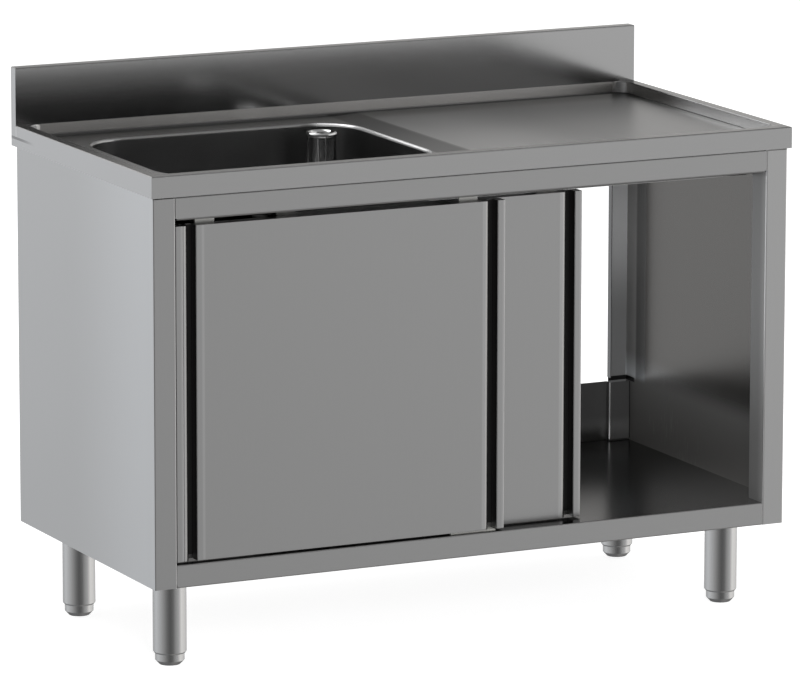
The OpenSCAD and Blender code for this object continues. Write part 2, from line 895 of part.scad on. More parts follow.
// Puts a leg's pieces on its axis: sx is the side and sy the front or the rear
module leg_place(sx, sy) {
    translate([sx * leg_x, sy < 0 ? leg_fy : leg_ry, 0])
        children();
}

module leg_socket() {
    inner_r = leg_r - leg_wall - tube_fit;
    translate([-leg_r - 8, -leg_r - 8, plate_z])
        cube([2 * leg_r + 16, 2 * leg_r + 16, plate_t]);
    translate([0, 0, plate_z - 30])
        difference() {
            cylinder(r = inner_r, h = 30.5);
            translate([0, 0, -1])
                cylinder(r = inner_r - 3, h = 31);
        }
}

module leg_tube() {
    r = leg_r - leg_wall;
    rotate_extrude()
        polygon([[foot_r + 0.8, foot_show], [leg_r - 2, foot_show], [leg_r, foot_show + swage_h],
            [leg_r, plate_z], [r, plate_z], [r, foot_show + swage_h + 1],
            [foot_r + 0.8, foot_show + 1.4]]);
}

// Threaded nut pressed into the leg tube
module leg_nut() {
    z0 = foot_show + foot_in + nut_gap;
    r = leg_r - leg_wall;
    rotate_extrude()
        polygon([[stud_r + stud_fit, z0], [r - 1, z0], [r, z0 + 1], [r, z0 + leg_nut_h],
            [r - 2, z0 + leg_nut_h], [r - 2, z0 + 8], [stud_r + 6, z0 + 8],
            [stud_r + 6, z0 + leg_nut_h], [stud_r + stud_fit, z0 + leg_nut_h]]);
}

module foot() {
    top = foot_show + foot_in;
    rotate_extrude()
        polygon([[0, 0], [foot_base_r, 0], [foot_r, foot_chamfer], [foot_r, top - 1],
            [foot_r - 1, top], [stud_r, top], [stud_r, top + stud_l - 1],
            [stud_r - 1, top + stud_l], [0, top + stud_l]]);
}

color(steel) worktop();
color(steel) drainer_rib(x_end * 0.26);  // drainer_rib_left
color(steel) drainer_rib(x_end * 0.74);  // drainer_rib_right
color(steel) bowl();
color(bright) waste_body();
color(dark) waste_gasket();
color(dark) waste_washer();
color(nylon) waste_nut();
color(bright) standpipe();
color(dark) standpipe_plug();
color(steel) side_panel();  // side_panel_left
color(steel) mirror([1, 0, 0]) side_panel();  // side_panel_right
color(steel) top_front_rail();
color(steel) top_rear_rail();
color(steel) bottom_shelf();
color(steel) shelf_rib();
color(steel) base_rear_rail();
color(steel) door_track();
color(nylon) door_guide();
color(bright) top_screws();
color(bright) track_screws();
color(bright) guide_screws();

color(steel) door_place(0, 0) door_skin_sheet();  // front_door_skin
color(steel) door_place(0, 0) door_back_sheet();  // front_door_back
color(bright) door_place(0, 0) door_hanger(-1);  // front_door_hanger_left
color(bright) door_place(0, 0) door_hanger(1);  // front_door_hanger_right
color(bright) door_place(0, 0) door_axles();  // front_door_axles
color(bright) door_place(0, 0) door_screws();  // front_door_screws
color(nylon) door_place(0, 0) roller(-1);  // front_roller_left
color(nylon) door_place(0, 0) roller(1);  // front_roller_right

color(steel) door_place(rear_door_open, 1) door_skin_sheet();  // rear_door_skin
color(steel) door_place(rear_door_open, 1) door_back_sheet();  // rear_door_back
color(bright) door_place(rear_door_open, 1) door_hanger(-1);  // rear_door_hanger_left
color(bright) door_place(rear_door_open, 1) door_hanger(1);  // rear_door_hanger_right
color(bright) door_place(rear_door_open, 1) door_axles();  // rear_door_axles
color(bright) door_place(rear_door_open, 1) door_screws();  // rear_door_screws
color(nylon) door_place(rear_door_open, 1) roller(-1);  // rear_roller_left
color(nylon) door_place(rear_door_open, 1) roller(1);  // rear_roller_right

color(steel) leg_place(-1, -1) leg_socket();  // leg_socket_fl
color(steel) leg_place(1, -1) leg_socket();  // leg_socket_fr
color(steel) leg_place(-1, 1) leg_socket();  // leg_socket_rl
color(steel) leg_place(1, 1) leg_socket();  // leg_socket_rr
color(bright) leg_place(-1, -1) leg_tube();  // leg_tube_fl
color(bright) leg_place(1, -1) leg_tube();  // leg_tube_fr
color(bright) leg_place(-1, 1) leg_tube();  // leg_tube_rl
color(bright) leg_place(1, 1) leg_tube();  // leg_tube_rr
color(steel) leg_place(-1, -1) leg_nut();  // leg_nut_fl
color(steel) leg_place(1, -1) leg_nut();  // leg_nut_fr
color(steel) leg_place(-1, 1) leg_nut();  // leg_nut_rl
color(steel) leg_place(1, 1) leg_nut();  // leg_nut_rr
color(bright) leg_place(-1, -1) foot();  // foot_fl
color(bright) leg_place(1, -1) foot();  // foot_fr
color(bright) leg_place(-1, 1) foot();  // foot_rl
color(bright) leg_place(1, 1) foot();  // foot_rr
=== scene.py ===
"""Looks of the stainless steel sink cabinet: finishes, fine pieces, studio and camera."""

import logging
import math
from dataclasses import dataclass
from enum import Enum
from typing import Any

import bmesh
import bpy
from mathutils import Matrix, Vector


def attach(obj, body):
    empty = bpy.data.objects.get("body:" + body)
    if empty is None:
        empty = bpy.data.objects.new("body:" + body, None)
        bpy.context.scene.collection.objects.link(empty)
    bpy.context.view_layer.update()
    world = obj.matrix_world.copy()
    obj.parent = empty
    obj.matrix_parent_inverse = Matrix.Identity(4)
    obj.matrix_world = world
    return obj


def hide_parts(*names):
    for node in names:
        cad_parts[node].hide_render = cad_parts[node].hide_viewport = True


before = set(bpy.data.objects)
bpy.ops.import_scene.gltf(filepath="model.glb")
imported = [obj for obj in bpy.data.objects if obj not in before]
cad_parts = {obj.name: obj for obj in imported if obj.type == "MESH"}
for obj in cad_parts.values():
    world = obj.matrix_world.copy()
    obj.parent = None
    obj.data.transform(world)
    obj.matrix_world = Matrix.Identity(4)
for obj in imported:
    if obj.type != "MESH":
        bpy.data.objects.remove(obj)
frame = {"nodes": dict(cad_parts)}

LOG = logging.getLogger("sink_cabinet")
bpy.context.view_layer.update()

Colour = tuple[float, float, float]
Point = tuple[float, float, float]
Pair = tuple[float, float]
Span = tuple[float, float]
Stops = tuple[tuple[float, Colour], ...]


class Grain(Enum):
    """Direction of a sheet's brushing, as the stretch of its noise along X, Y and Z."""

    ALONG_X = (1.0, 90.0, 90.0)
    ALONG_Z = (90.0, 90.0, 1.0)
    NONE = (1.0, 1.0, 1.0)


class Wire:
    """An output socket whose Python operators add Math nodes."""

    def __init__(self, graph: "Graph", socket: bpy.types.NodeSocket) -> None:
        """Keeps the socket and the graph it belongs to."""
        self.graph = graph
        self.socket = socket

    def _math(self, operation: str, left: Any, right: Any) -> "Wire":
        """Adds one Math node.

        Args:
            operation: the node's operation.
            left: first value or wire.
            right: second value or wire.

        Returns:
            The node's output.
        """
        return self.graph.node("ShaderNodeMath", {"operation": operation}, {0: left, 1: right})

    def __add__(self, other: Any) -> "Wire":
        """Sum."""
        return self._math("ADD", self, other)

    def __radd__(self, other: Any) -> "Wire":
        """Sum, reflected."""
        return self._math("ADD", other, self)

    def __sub__(self, other: Any) -> "Wire":
        """Difference."""
        return self._math("SUBTRACT", self, other)

    def __rsub__(self, other: Any) -> "Wire":
        """Difference, reflected."""
        return self._math("SUBTRACT", other, self)

    def __mul__(self, other: Any) -> "Wire":
        """Product."""
        return self._math("MULTIPLY", self, other)

    def __rmul__(self, other: Any) -> "Wire":
        """Product, reflected."""
        return self._math("MULTIPLY", other, self)

    def __truediv__(self, other: Any) -> "Wire":
        """Quotient."""
        return self._math("DIVIDE", self, other)

    def highest(self, other: Any) -> "Wire":
        """The larger of two values."""
        return self._math("MAXIMUM", self, other)

    def step(self, start: float, end: float) -> "Wire":
        """Rises softly from 0 at the start to 1 at the end.

        Args:
            start: the value where the rise begins.
            end: the value where it ends.

        Returns:
            The risen value.
        """
        return self.graph.node(
            "ShaderNodeMapRange",
            {"interpolation_type": "SMOOTHSTEP"},
            {"Value": self, "From Min": start, "From Max": end},
        )


class Graph:
    """A node tree and the one method that adds its nodes."""

    def __init__(self, tree: bpy.types.NodeTree) -> None:
        """Empties the tree and keeps it."""
        self.tree = tree
        tree.nodes.clear()

    def node(self, kind: str, settings: dict[str, Any], inputs: dict[Any, Any], out: Any = 0) -> Wire:
        """Adds a node.

        Args:
            kind: the node's type.
            settings: properties set first; "stops" is a ramp's list of (place, colour).
            inputs: values or wires by socket name or number.
            out: name or number of the output that is returned.

        Returns:
            The chosen output.
        """
        made = self.tree.nodes.new(kind)
        for name, value in settings.items():
            if name == "stops":
                self._set_stops(made.color_ramp, value)
            else:
                setattr(made, name, value)
        for name, value in inputs.items():
            socket = made.inputs[name]
            if isinstance(value, Wire):
                self.tree.links.new(value.socket, socket)
            else:
                socket.default_value = value
        return Wire(self, made.outputs[out] if len(made.outputs) else None)

    def scale(self, colour: Any, factor: Any) -> Wire:
        """Multiplies a colour by a number."""
        return self.node("ShaderNodeVectorMath", {"operation": "SCALE"}, {0: colour, "Scale": factor})

    def mix(self, factor: Any, first: Any, second: Any) -> Wire:
        """Mixes two colours.

        Args:
            factor: how much of the second is taken.
            first: the first colour.
            second: the second colour.

        Returns:
            The mixed colour.
        """
        full = [value if isinstance(value, Wire) else (*value, 1.0) for value in (first, second)]
        inputs = {"Factor": factor, 6: full[0], 7: full[1]}
        return self.node("ShaderNodeMix", {"data_type": "RGBA"}, inputs, 2)

    def surface(self, inputs: dict[str, Any]) -> None:
        """Adds the surface shader and the tree's output.

        Args:
            inputs: the shader's values or wires by socket name.
        """
        skin = self.node("ShaderNodeBsdfPrincipled", {}, inputs)
        self.node("ShaderNodeOutputMaterial", {}, {"Surface": skin})

    @staticmethod
    def _set_stops(ramp: bpy.types.ColorRamp, stops: Stops) -> None:
        """Writes a colour ramp's stops.

        Args:
            ramp: the ramp.
            stops: each stop's place and colour, in order.
        """
        while len(ramp.elements) < len(stops):
            ramp.elements.new(0.5)
        for element, (place, colour) in zip(ramp.elements, stops):
            element.position = place
            element.color = (*colour, 1.0)


def new_material(name: str) -> tuple[bpy.types.Material, Graph]:
    """Makes an empty material.

    Args:
        name: the material's name.

    Returns:
        The material and its graph.
    """
    material = bpy.data.materials.new(name)
    material.use_nodes = True
    return material, Graph(material.node_tree)


def grey(level: float, cool: float = 0.0) -> Colour:
    """A neutral colour.

    Args:
        level: its brightness.
        cool: how far it leans to blue, or to amber where it is negative.

    Returns:
        The colour.
    """
    return (level * (1.0 - cool), level * (1.0 - 0.1 * cool), level * (1.0 + cool))


# The span of an axis on which a patch has no limit, and the width of a hard border, in metres.
ANYWHERE: Span = (-9.0, 9.0)
HARD = 0.0002


@dataclass(frozen=True)
class Patch:
    """A soft-edged box in which a sheet is polished or dulled, or has light or shade painted on it.

    The tint multiplies the sheet's colour and so paints light or shade on it, the roughness is added to
    the sheet's own, and metallic below 1 makes it mirror less and scatter more.
    The borders lie outside the box and are as wide as "soft" says along X, Y and Z. With
    both_ends, X counts from the middle, so the patch is on both ends of the cabinet. With
    hard_far, the border on the far side of each axis is hard.
    """

    x: Span = ANYWHERE
    y: Span = ANYWHERE
    z: Span = ANYWHERE
    tint: Colour = (1.0, 1.0, 1.0)
    roughness: float = 0.0
    metallic: float = 1.0
    soft: Point = (HARD, HARD, HARD)
    both_ends: bool = False
    hard_far: bool = False

    def share(self, axes: dict[str, Wire]) -> Wire:
        """Works out how far a point lies in the patch.

        Args:
            axes: the Object coordinates by axis, and "ends" for the distance from the middle.

        Returns:
            1 inside, falling softly to 0 outside.
        """
        found: Any = 1.0
        along = (axes["ends" if self.both_ends else "X"], axes["Y"], axes["Z"])
        for axis, (low, high), soft in zip(along, (self.x, self.y, self.z), self.soft):
            if low > ANYWHERE[0]:
                found = axis.step(low - soft, low) * found
            if high < ANYWHERE[1]:
                edge = HARD if self.hard_far else soft
                found = (1.0 - axis.step(high, high + edge)) * found
        return found


@dataclass(frozen=True)
class BrushedSteel:
    """Satin stainless sheet: streaks along the grain, faint smears, a soft gloss and its patches' painted
    light and shade.
    """

    name: str
    colour: Colour
    roughness: float
    grain: Grain
    streak: float = 0.05
    smear: float = 0.04
    bump: float = 0.02
    patches: tuple[Patch, ...] = ()
    streak_scale: float = 14.0
    smear_scale: float = 3.2
    scratch_depth: float = 0.0004

    def build(self) -> bpy.types.Material:
        """Makes the material.

        Returns:
            The new material.
        """
        material, graph = new_material(self.name)
        place = graph.node("ShaderNodeTexCoord", {}, {}, "Object")
        along = graph.node("ShaderNodeMapping", {}, {"Vector": place, "Scale": self.grain.value})
        streaks = graph.node(
            "ShaderNodeTexNoise",
            {},
            {"Vector": along, "Scale": self.streak_scale, "Detail": 4.0, "Roughness": 0.62},
        )
        smears = graph.node(
            "ShaderNodeTexNoise",
            {},
            {"Vector": place, "Scale": self.smear_scale, "Detail": 3.0, "Roughness": 0.5},
        )
        rough = self.roughness + self.streak * (streaks - 0.5) + self.smear * (smears - 0.5)
        shade = 0.94 + 0.06 * smears + 0.06 * (streaks - 0.5)
        metal: Any = 1.0
        tints: list[Wire] = []
        axes = {axis: graph.node("ShaderNodeSeparateXYZ", {}, {"Vector": place}, axis) for axis in "XYZ"}
        axes["ends"] = graph.node("ShaderNodeMath", {"operation": "ABSOLUTE"}, {0: axes["X"]})
        # Each patch's tint paints its light or shade into the colour; its roughness and metal change the
        # gloss.
        for patch in self.patches:
            share = patch.share(axes)
            tints.append(graph.mix(share, grey(1.0), patch.tint))
            if patch.roughness:
                rough = rough + patch.roughness * share
            if patch.metallic < 1.0:
                metal = metal * (1.0 - (1.0 - patch.metallic) * share)
        tint = graph.scale(self.colour, shade)
        for own in tints:
            tint = graph.node("ShaderNodeVectorMath", {"operation": "MULTIPLY"}, {0: tint, 1: own})
        relief = graph.node(
            "ShaderNodeBump",
            {},
            {"Strength": self.bump, "Distance": self.scratch_depth, "Height": streaks},
        )
        graph.surface({"Base Color": tint, "Metallic": metal, "Roughness": rough, "Normal": relief})
        return material


@dataclass(frozen=True)
class PlainFinish:
    """Rubber, nylon or plated steel with a fine mottled surface."""

    name: str
    colour: Colour
    roughness: float
    metallic: float
    grain_scale: float = 900.0
    mottle_scale: float = 40.0
    grain_depth: float = 0.0003
    bump: float = 0.08

    def build(self) -> bpy.types.Material:
        """Makes the material.

        Returns:
            The new material.
        """
        material, graph = new_material(self.name)
        place = graph.node("ShaderNodeTexCoord", {}, {}, "Object")
        fine = graph.node(
            "ShaderNodeTexNoise", {}, {"Vector": place, "Scale": self.grain_scale, "Detail": 2.0}
        )
        broad = graph.node(
            "ShaderNodeTexNoise", {}, {"Vector": place, "Scale": self.mottle_scale, "Detail": 2.0}
        )
        tint = graph.scale(self.colour, 0.9 + 0.2 * broad)
        relief = graph.node(
            "ShaderNodeBump", {}, {"Strength": self.bump, "Distance": self.grain_depth, "Height": fine}
        )
        rough = self.roughness + 0.1 * (fine - 0.5)
        graph.surface(
            {"Base Color": tint, "Metallic": self.metallic, "Roughness": rough, "Normal": relief}
        )
        return material


@dataclass(frozen=True)
class Groove:
    """One grip groove of a sliding door, with the door at rest.

    Right is the X of its right edge and floor the Y of its floor. Foot and head are the Z of
    both ends of the door's skin.
    """

    body: str
    side: str
    right: float
    floor: float
    foot: float
    head: float


# The lip outside a grip groove, the groove's width and its depth, in metres as the CAD skin has them.
GRIP_LIP = 0.014
GRIP_WIDTH = 0.024
GRIP_DEPTH = 0.02


def grip_grooves() -> tuple[Groove, ...]:
    """Finds the grip grooves from the boxes of the doors' skins.

    Returns:
        The grooves, each door's left one first.
    """
    found = []
    for body in ("front_door", "rear_door"):
        corners = frame["nodes"][f"{body}_skin"].bound_box
        low = [round(min(corner[axis] for corner in corners), 5) for axis in range(3)]
        high = [round(max(corner[axis] for corner in corners), 5) for axis in range(3)]
        edges = {"left": low[0] + GRIP_LIP + GRIP_WIDTH, "right": high[0] - GRIP_LIP}
        for side, right in edges.items():
            found.append(Groove(body, side, right, low[1] + GRIP_DEPTH, low[2], high[2]))
    return tuple(found)


GROOVES = grip_grooves()

# Colour and roughness of the plain satin sheet.
SHEET: Colour = grey(0.42)
SATIN = 0.3

# Where the worktop's sunk field and its walls are, in metres.
FIELD_X: Span = (-0.579, 0.579)
FIELD_Y: Span = (-0.2788, 0.2788)
FIELD_Z: Span = (0.8262, 0.8306)
RECESS_WALL_Z: Span = (0.8305, 0.8496)
RIGHT_WALL_X: Span = (0.5775, 0.5799)

TOP_PATCHES: tuple[Patch, ...] = (
    # The sunk field is duller than the rim, and painted shade darkens it toward the splashback.
    Patch(x=FIELD_X, y=FIELD_Y, z=FIELD_Z, roughness=0.12),
    Patch(x=FIELD_X, y=(0.262, 0.2788), z=FIELD_Z, tint=grey(0.42), soft=(0.1, 0.07, HARD)),
    # Painted light where the drainer starts, and painted shade along the recess's right wall.
    Patch(
        x=(0.046, 0.12), y=(-0.17, 0.16), z=(0.8291, 0.8306), tint=grey(1.35), soft=(0.2, 0.1, 0.0001),
    ),
    Patch(
        x=(0.572, 0.5776), y=(-0.05, 0.2788), z=(0.8285, 0.8306), tint=grey(0.55),
        soft=(0.012, 0.2, HARD),
    ),
    # Painted shade darkens the ramp between bowl and drainer.
    Patch(x=(-0.007, 0.046), y=FIELD_Y, z=(0.826, 0.8293), tint=grey(0.62), soft=(0.004, HARD, HARD)),
    # Painted light on the recess's rear and right walls, and painted shade in the right wall's rear
    # corner.
    Patch(y=(0.2786, 0.2799), z=RECESS_WALL_Z, tint=grey(1.5, -0.02)),
    Patch(x=RIGHT_WALL_X, y=FIELD_Y, z=RECESS_WALL_Z, tint=grey(1.75), metallic=0.8),
    Patch(
        x=RIGHT_WALL_X, y=(0.14, 0.2788), z=RECESS_WALL_Z, tint=grey(0.3, -0.03),
        soft=(HARD, 0.14, HARD),
    ),
    # Painted shade darkens the rim on its right side and along the right half of its front.
    Patch(x=(0.5799, 0.5992), z=(0.8494, 0.8502), tint=grey(0.8)),
    Patch(
        x=(0.3, 0.5799), y=(-0.2995, -0.2785), z=(0.8485, 0.8502), tint=grey(0.68),
        soft=(0.25, HARD, HARD),
    ),
    # The splashback's front is glossier.
    Patch(y=(0.2799, 0.2801), z=(0.8503, 0.96), roughness=-0.1),
)

BOWL_PATCHES: tuple[Patch, ...] = (
    # A painted highlight on the bowl's rolled edge beside the ramp.
    Patch(x=(-0.05, 0.0), z=(0.8222, 0.832), tint=grey(2.3), metallic=0.6, soft=(0.03, 0.0, 0.001)),
)

# Where the side panels' inner faces, rear posts, jambs and front folds are, in metres.
LINING_X: Span = (0.593, 0.5946)
LINING_Y: Span = (-0.2924, 0.2894)
POST_X: Span = (0.5556, 0.594)
POST_Y: Span = (0.2884, 0.2892)
JAMB_X: Span = (0.5545, 0.5555)
FOLD_Y: Span = (-0.2934, -0.2906)

SIDE_PATCHES: tuple[Patch, ...] = (
    # Painted shade makes the side panels' inner faces darker than their outsides.
    Patch(x=LINING_X, y=LINING_Y, tint=grey(0.26, -0.06), roughness=-0.04, metallic=0.85, both_ends=True),
    # Stand-ins for the rear posts' mirror images: a bright strip in a wider, fainter one.
    Patch(
        x=LINING_X, y=(0.256, 0.2894), z=(0.31, 0.9), tint=grey(2.1), metallic=0.6,
        soft=(HARD, 0.008, 0.006), hard_far=True, both_ends=True,
    ),
    Patch(
        x=LINING_X, y=(0.222, 0.2894), z=(0.315, 0.9), tint=grey(1.6, 0.05), metallic=0.5,
        soft=(HARD, 0.01, 0.012), hard_far=True, both_ends=True,
    ),
    # Painted light low down on the inner faces, and a little painted shade again at the shelf.
    Patch(
        x=LINING_X, y=LINING_Y, z=(0.19, 0.3), tint=grey(2.5, 0.05), metallic=0.35,
        soft=(HARD, HARD, 0.06), both_ends=True,
    ),
    Patch(
        x=LINING_X, y=LINING_Y, z=(0.19, 0.2), tint=grey(0.72, -0.02), soft=(HARD, HARD, 0.13),
        both_ends=True,
    ),
    # A painted shadow: the black line of the gap over the shelf's upstand.
    Patch(
        x=POST_X, y=(0.262, 0.2894), z=(0.3012, 0.3085), tint=grey(0.05), soft=(HARD, 0.01, 0.0012),
        hard_far=True, both_ends=True,
    ),
    # The rear posts' front faces are dull, with painted light on them and painted shade toward the shelf.
    Patch(x=POST_X, y=POST_Y, tint=grey(2.1, 0.01), roughness=0.2, metallic=0.1, both_ends=True),
    Patch(
        x=POST_X, y=POST_Y, z=(0.19, 0.42), tint=grey(0.36), soft=(HARD, HARD, 0.22), both_ends=True,
    ),
    # Painted light makes the left panel's outside lighter toward the front.
    Patch(x=(-0.5962, -0.595), y=(-0.293, -0.27), tint=grey(1.2, 0.01), soft=(HARD, 0.35, HARD)),
    # Painted light makes the right front post's face a little lighter.
    Patch(x=(0.5562, 0.597), y=(-0.2937, -0.2925), tint=grey(1.14)),
    # Painted shade darkens the rear posts' lips.
    Patch(x=(0.552, 0.5555), y=(0.24, 0.29), tint=grey(0.35), both_ends=True),
    # The jambs are duller, and painted shade darkens them, more toward the rear.
    Patch(
        x=JAMB_X, y=(-0.2905, -0.2436), tint=grey(0.9), roughness=0.2, metallic=0.4, both_ends=True,
    ),
    Patch(x=JAMB_X, y=(-0.27, -0.2436), tint=grey(0.72), soft=(HARD, 0.02, HARD), both_ends=True),
    # Painted highlights on the folds between the front posts and the jambs, the right one brightest.
    Patch(x=(0.552, 0.5564), y=FOLD_Y, tint=grey(1.9)),
    Patch(x=(-0.5564, -0.552), y=FOLD_Y, tint=grey(1.15)),
)

DOOR_PATCHES: tuple[Patch, ...] = (
    # Painted shade on the grip grooves' floors.
    *(
        Patch(
            x=(groove.right - 0.0145, groove.right + 0.001),
            y=(groove.floor - 0.0007, groove.floor + 0.0007),
            z=(0.2, 0.76), tint=grey(0.2), roughness=0.05, soft=(0.009, HARD, HARD),
        )
        for groove in GROOVES
    ),
    # Painted shade darkens the rolled strips as they go into the grooves.
    *(
        Patch(
            x=(groove.right - 0.016, groove.right - 0.013),
            y=(groove.floor - 0.0199, groove.floor + 0.0007),
            z=(0.19, 0.77), tint=grey(0.08), soft=(0.0075, 0.0001, HARD),
        )
        for groove in GROOVES
    ),
    # A thin painted highlight on the doors' faces, left of each groove and a centimetre right of it.
    *(
        Patch(
            x=(edge, edge + 0.0025), y=(groove.floor - 0.0203, groove.floor - 0.0197),
            z=(0.196, 0.7605), tint=grey(1.16), soft=(0.002, HARD, HARD),
        )
        for groove in GROOVES
        for edge in (groove.right - 0.0275, groove.right + 0.0105)
    ),
)

# Where the front of the step in the shelf's upstand is, in metres.
STEP_Y: Span = (0.2727, 0.2741)
STEP_Z: Span = (0.195, 0.3)

SHELF_PATCHES: tuple[Patch, ...] = (
    # Painted shade darkens the shelf's upper face, which is also glossier than the rest.
    Patch(y=(-0.2915, 0.2894), z=(0.191, 0.1918), tint=grey(0.2), roughness=-0.1),
    # The upstand's front is dull, and painted shade darkens it.
    Patch(
        y=(0.2, 0.289), z=(0.24, 0.3), tint=grey(0.34), roughness=0.1, metallic=0.3,
        soft=(HARD, HARD, 0.04),
    ),
    # The upstand's step: its front, the painted shade of the crease by the side panel, and the painted
    # highlight on its return.
    Patch(x=(0.5545, 0.5938), y=STEP_Y, z=STEP_Z, metallic=0.8, both_ends=True),
    Patch(x=(0.5924, 0.5938), y=STEP_Y, z=STEP_Z, tint=grey(0.1), both_ends=True),
    Patch(
        x=(0.5529, 0.5538), y=(0.2727, 0.2775), z=(0.195, 0.2996), tint=grey(7.0), metallic=0.2,
        both_ends=True,
    ),
)


@dataclass
class Finishes:
    """All the finishes, and the CAD nodes that each one dresses."""

    top: BrushedSteel = BrushedSteel("steel_top", SHEET, 0.25, Grain.ALONG_X, patches=TOP_PATCHES)
    bowl: BrushedSteel = BrushedSteel("steel_bowl", grey(0.4), 0.26, Grain.NONE, patches=BOWL_PATCHES)
    side: BrushedSteel = BrushedSteel("steel_side", SHEET, SATIN, Grain.ALONG_Z, patches=SIDE_PATCHES)
    door: BrushedSteel = BrushedSteel("steel_door", SHEET, SATIN, Grain.ALONG_Z, patches=DOOR_PATCHES)
    rail: BrushedSteel = BrushedSteel("steel_rail", SHEET, SATIN, Grain.ALONG_X)
    shelf: BrushedSteel = BrushedSteel("steel_shelf", SHEET, SATIN, Grain.ALONG_X, patches=SHELF_PATCHES)
    leg: BrushedSteel = BrushedSteel("steel_leg", grey(0.44), 0.24, Grain.ALONG_Z)
    bright: BrushedSteel = BrushedSteel("steel_bright", grey(0.7), 0.1, Grain.NONE, 0.02, 0.02, 0.0)
    plated: PlainFinish = PlainFinish("plated_steel", (0.55, 0.55, 0.53), 0.35, 1.0)
    rubber: PlainFinish = PlainFinish("black_rubber", grey(0.02), 0.6, 0.0)
    nylon: PlainFinish = PlainFinish("white_nylon", (0.7, 0.7, 0.66), 0.45, 0.0)

    def for_node(self, node: str) -> BrushedSteel | PlainFinish:
        """Chooses a node's finish by the first of these words that its name holds.

        Args:
            node: the CAD node's name.

        Returns:
            The finish.
        """
        choices = (
            (("leg_nut", "screws", "axles", "hanger"), self.plated),
            (("gasket", "washer", "plug"), self.rubber),
            (("nut", "guide", "roller"), self.nylon),
            (("worktop",), self.top),
            (("bowl",), self.bowl),
            (("standpipe", "waste_body"), self.bright),
            (("leg_tube", "foot"), self.leg),
            (("side_panel",), self.side),
            (("door_skin", "door_back"), self.door),
            (("bottom_shelf",), self.shelf),
        )
        for words, finish in choices:
            if any(word in node for word in words):
                return finish
        return self.rail

    def dress(self, nodes: dict[str, bpy.types.Object]) -> dict[str, bpy.types.Material]:
        """Gives every CAD node its material.

        Args:
            nodes: the frame's nodes by name.

        Returns:
            The materials by the finish's name.
        """
        made: dict[str, bpy.types.Material] = {}
        for name, node in sorted(nodes.items()):
            finish = self.for_node(name)
            if finish.name not in made:
                made[finish.name] = finish.build()
            for slot in node.material_slots:
                slot.material = made[finish.name]
            LOG.info("%s dressed in %s", name, finish.name)
        return made


@dataclass(frozen=True)
class TurnedPiece:
    """A piece of revolution about an upright axis, extruded ring by ring.

    The centre is in metres. The profile is the radius and height of each ring in
    millimetres, and its last ring joins the first.
    """

    name: str
    centre: Pair
    profile: tuple[Pair, ...]
    sides: int = 96
    merge_below: float = 0.00002
    smooth_below: float = math.radians(40)

    def model(self) -> bpy.types.Object:
        """Turns the piece.

        Returns:
            The piece.
        """
        bpy.ops.object.select_all(action="DESELECT")
        radius, height = self.profile[0]
        bpy.ops.mesh.primitive_circle_add(
            vertices=self.sides, radius=radius / 1000, location=(*self.centre, height / 1000)
        )
        piece = bpy.context.active_object
        piece.name = self.name
        bpy.ops.object.transform_apply(location=True)
        bpy.ops.object.mode_set(mode="EDIT")
        bpy.ops.mesh.select_all(action="SELECT")
        for next_radius, next_height in self.profile[1:] + self.profile[:1]:
            bpy.ops.mesh.extrude_edges_move(
                TRANSFORM_OT_translate={"value": (0.0, 0.0, (next_height - height) / 1000)}
            )
            bpy.ops.transform.resize(
                value=(next_radius / radius, next_radius / radius, 1.0),
                center_override=(*self.centre, next_height / 1000),
            )
            radius, height = next_radius, next_height
        bpy.ops.mesh.select_all(action="SELECT")
        bpy.ops.mesh.remove_doubles(threshold=self.merge_below)
        bpy.ops.mesh.normals_make_consistent(inside=False)
        bpy.ops.object.mode_set(mode="OBJECT")
        bpy.ops.object.shade_smooth_by_angle(angle=self.smooth_below)
        return piece


@dataclass(frozen=True)
class Standpipe:
    """Overflow pipe with a rolled mouth, standing on its plug in the waste.

    The centre is in metres, and the other sizes are in millimetres. The roll's points are
    how far in from the bead's outside and how far down from the top each one is.
    """

    centre: Pair = (-0.09, 0.132)
    foot: float = 580.4
    top: float = 826.5
    neck: float = 23.0
    bore: float = 21.8
    pipe: float = 25.8
    bead: float = 27.2
    wall: float = 1.2
    neck_height: float = 20.0
    shoulder_height: float = 36.0
    roll: tuple[Pair, ...] = (
        (0.3, 5.6), (0.0, 4.2), (0.2, 2.8), (0.9, 1.4), (2.0, 0.4), (3.3, 0.0),
        (5.0, 0.5), (6.8, 1.7), (8.3, 3.5), (9.1, 5.6), (9.0, 7.0), (7.6, 8.4),
    )

    def build(self, finish: bpy.types.Material) -> None:
        """Models the pipe, which stands in for the plain one.

        Args:
            finish: the pipe's material.
        """
        inside = self.pipe - self.wall
        profile = (
            (self.bore, self.foot),
            (self.neck, self.foot),
            (self.neck, self.foot + self.neck_height),
            (self.pipe - 0.8, self.foot + self.shoulder_height - 4.0),
            (self.pipe, self.foot + self.shoulder_height),
            (self.pipe, self.top - 8.0),
            (self.pipe + 0.3, self.top - 7.0),
            *((self.bead - inward, self.top - down) for inward, down in self.roll),
            (inside, self.top - 11.0),
            (inside, self.foot + self.shoulder_height + 0.6),
            (self.bore, self.foot + self.neck_height + 1.0),
        )
        pipe = TurnedPiece("standpipe_rolled", self.centre, profile).model()
        pipe.data.materials.append(finish)
        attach(pipe, "standpipe")
        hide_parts("standpipe")
        LOG.info("%s modelled", pipe.name)


